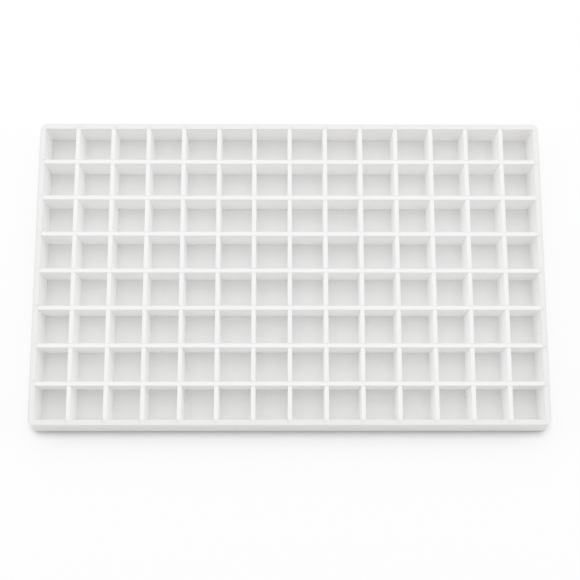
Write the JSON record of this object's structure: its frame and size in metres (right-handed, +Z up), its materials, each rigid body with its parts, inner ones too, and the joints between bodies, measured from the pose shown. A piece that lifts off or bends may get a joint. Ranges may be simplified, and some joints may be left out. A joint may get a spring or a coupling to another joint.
{
  "type": "paint mixing palette",
  "caption": "Shallow rectangular white plastic tray divided by crossing slats into a grid of deep, nearly square wells for holding and mixing paint.",
  "frame": {"origin": "centre of the base, on the surface that the palette stands on", "axes": "+X along the length, +Y across the width towards the far side, +Z up out of the wells"},
  "size_m": [0.358, 0.2176, 0.0287],
  "materials": {
    "tray_plastic": "satin moulded",
    "divider_plastic": "satin moulded"
  },
  "bodies": {
    "root": {"outer_tray": "tray_plastic", "long_divider_1": "divider_plastic", "long_divider_2": "divider_plastic", "long_divider_3": "divider_plastic", "long_divider_4": "divider_plastic", "long_divider_5": "divider_plastic", "long_divider_6": "divider_plastic", "long_divider_7": "divider_plastic", "cross_divider_1": "divider_plastic", "cross_divider_2": "divider_plastic", "cross_divider_3": "divider_plastic", "cross_divider_4": "divider_plastic", "cross_divider_5": "divider_plastic", "cross_divider_6": "divider_plastic", "cross_divider_7": "divider_plastic", "cross_divider_8": "divider_plastic", "cross_divider_9": "divider_plastic", "cross_divider_10": "divider_plastic", "cross_divider_11": "divider_plastic", "cross_divider_12": "divider_plastic", "cross_divider_13": "divider_plastic"}
  },
  "joints": []
}
